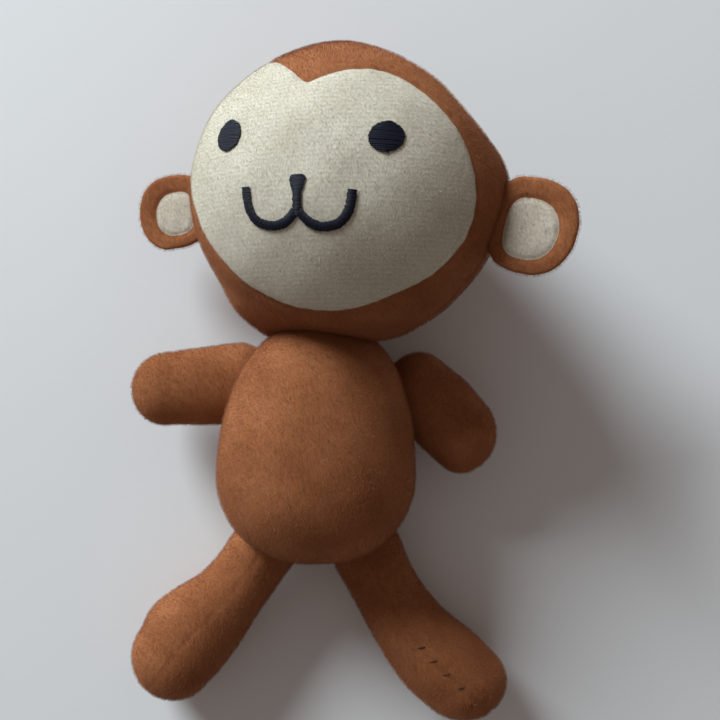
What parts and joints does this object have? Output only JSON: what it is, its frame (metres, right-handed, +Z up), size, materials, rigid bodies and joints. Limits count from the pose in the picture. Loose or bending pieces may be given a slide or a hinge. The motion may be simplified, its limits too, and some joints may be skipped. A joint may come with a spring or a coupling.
{
  "type": "stuffed plush monkey doll",
  "caption": "Small stuffed plush monkey doll lying on its back, with a heart-topped cream face panel, flat ears, an egg-shaped torso and floppy arms and legs.",
  "frame": {"origin": "centre of the doll's outline as it lies on its back, at the level of the surface it lies on", "axes": "+Z up out of the belly, +Y toward the head, +X toward the doll's own left side"},
  "size_m": [0.1102, 0.1652, 0.0635],
  "materials": {
    "brown_plush": "short velboa pile, chestnut brown",
    "cream_plush": "short velboa pile, warm cream",
    "embroidery_thread": "rayon satin stitch, near-black navy",
    "sewing_thread": "polyester thread, dark brown",
    "stuffing": "polyester fibre stuffing, hidden"
  },
  "bodies": {
    "torso": {"belly_panel": "brown_plush", "back_left_panel": "brown_plush", "back_right_panel": "brown_plush", "torso_stuffing": "stuffing"},
    "neck_root": {"neck_wad": "stuffing"},
    "head": {"face_panel": "cream_plush", "head_front_panel": "brown_plush", "head_back_left_panel": "brown_plush", "head_back_right_panel": "brown_plush", "head_stuffing": "stuffing", "eye_left_embroidery": "embroidery_thread", "eye_right_embroidery": "embroidery_thread", "nose_embroidery": "embroidery_thread", "mouth_embroidery": "embroidery_thread"},
    "ear_left": {"ear_left_front": "brown_plush", "ear_left_back": "brown_plush", "ear_left_inner": "cream_plush"},
    "shoulder_left_root": {"shoulder_left_wad": "stuffing"},
    "arm_left": {"arm_left_front_panel": "brown_plush", "arm_left_back_panel": "brown_plush", "arm_left_stuffing": "stuffing"},
    "hip_left_root": {"hip_left_wad": "stuffing"},
    "leg_left": {"leg_left_inner_panel": "brown_plush", "leg_left_outer_panel": "brown_plush", "leg_left_stuffing": "stuffing", "leg_left_stitches": "sewing_thread"},
    "ear_right": {"ear_right_front": "brown_plush", "ear_right_back": "brown_plush", "ear_right_inner": "cream_plush"},
    "shoulder_right_root": {"shoulder_right_wad": "stuffing"},
    "arm_right": {"arm_right_front_panel": "brown_plush", "arm_right_back_panel": "brown_plush", "arm_right_stuffing": "stuffing"},
    "hip_right_root": {"hip_right_wad": "stuffing"},
    "leg_right": {"leg_right_inner_panel": "brown_plush", "leg_right_outer_panel": "brown_plush", "leg_right_stuffing": "stuffing"}
  },
  "joints": [
    {"name": "neck_turn", "type": "hinge", "parent": "torso", "child": "neck_root", "pos_m": [-0.00311, 0.00312, 0.0225], "axis": [0, 1, 0], "range_deg": [-35, 35], "stiffness_Nm_per_rad": 0.03},
    {"name": "neck_nod", "type": "hinge", "parent": "neck_root", "child": "head", "pos_m": [-0.00311, 0.00312, 0.0225], "axis": [1, 0, 0], "range_deg": [-12, 12], "stiffness_Nm_per_rad": 0.03},
    {"name": "arm_left_raise", "type": "hinge", "parent": "torso", "child": "shoulder_left_root", "pos_m": [0.02699, -0.00558, 0.0151], "axis": [0, 0, 1], "range_deg": [-4, 80], "stiffness_Nm_per_rad": 0.01},
    {"name": "arm_left_swing", "type": "hinge", "parent": "shoulder_left_root", "child": "arm_left", "pos_m": [0.02699, -0.00558, 0.0151], "axis": [-0.6157, -0.788, 0], "range_deg": [-15, 60], "stiffness_Nm_per_rad": 0.01},
    {"name": "arm_right_raise", "type": "hinge", "parent": "torso", "child": "shoulder_right_root", "pos_m": [-0.03451, 0.00072, 0.0151], "axis": [0, 0, -1], "range_deg": [-35, 50], "stiffness_Nm_per_rad": 0.01},
    {"name": "arm_right_swing", "type": "hinge", "parent": "shoulder_right_root", "child": "arm_right", "pos_m": [-0.03451, 0.00072, 0.0151], "axis": [-0.0698, 0.9976, 0], "range_deg": [-15, 60], "stiffness_Nm_per_rad": 0.01},
    {"name": "leg_left_spread", "type": "hinge", "parent": "torso", "child": "hip_left_root", "pos_m": [0.01049, -0.04568, 0.0115], "axis": [0, 0, 1], "range_deg": [-20, 35], "stiffness_Nm_per_rad": 0.015},
    {"name": "leg_left_swing", "type": "hinge", "parent": "hip_left_root", "child": "leg_left", "pos_m": [0.01049, -0.04568, 0.0115], "axis": [-0.766, -0.6428, 0], "range_deg": [-10, 60], "stiffness_Nm_per_rad": 0.015},
    {"name": "leg_right_spread", "type": "hinge", "parent": "torso", "child": "hip_right_root", "pos_m": [-0.02091, -0.04528, 0.0115], "axis": [0, 0, -1], "range_deg": [-20, 35], "stiffness_Nm_per_rad": 0.015},
    {"name": "leg_right_swing", "type": "hinge", "parent": "hip_right_root", "child": "leg_right", "pos_m": [-0.02091, -0.04528, 0.0115], "axis": [-0.766, 0.6428, 0], "range_deg": [-10, 60], "stiffness_Nm_per_rad": 0.015},
    {"name": "ear_left_fold", "type": "hinge", "parent": "head", "child": "ear_left", "pos_m": [0.03933, 0.03851, 0.04361], "axis": [-0.2333, -0.9681, -0.0914], "range_deg": [-30, 30], "stiffness_Nm_per_rad": 0.004},
    {"name": "ear_right_fold", "type": "hinge", "parent": "head", "child": "ear_right", "pos_m": [-0.03585, 0.04376, 0.01839], "axis": [-0.118, 0.9927, -0.0264], "range_deg": [-30, 30], "stiffness_Nm_per_rad": 0.004}
  ]
}
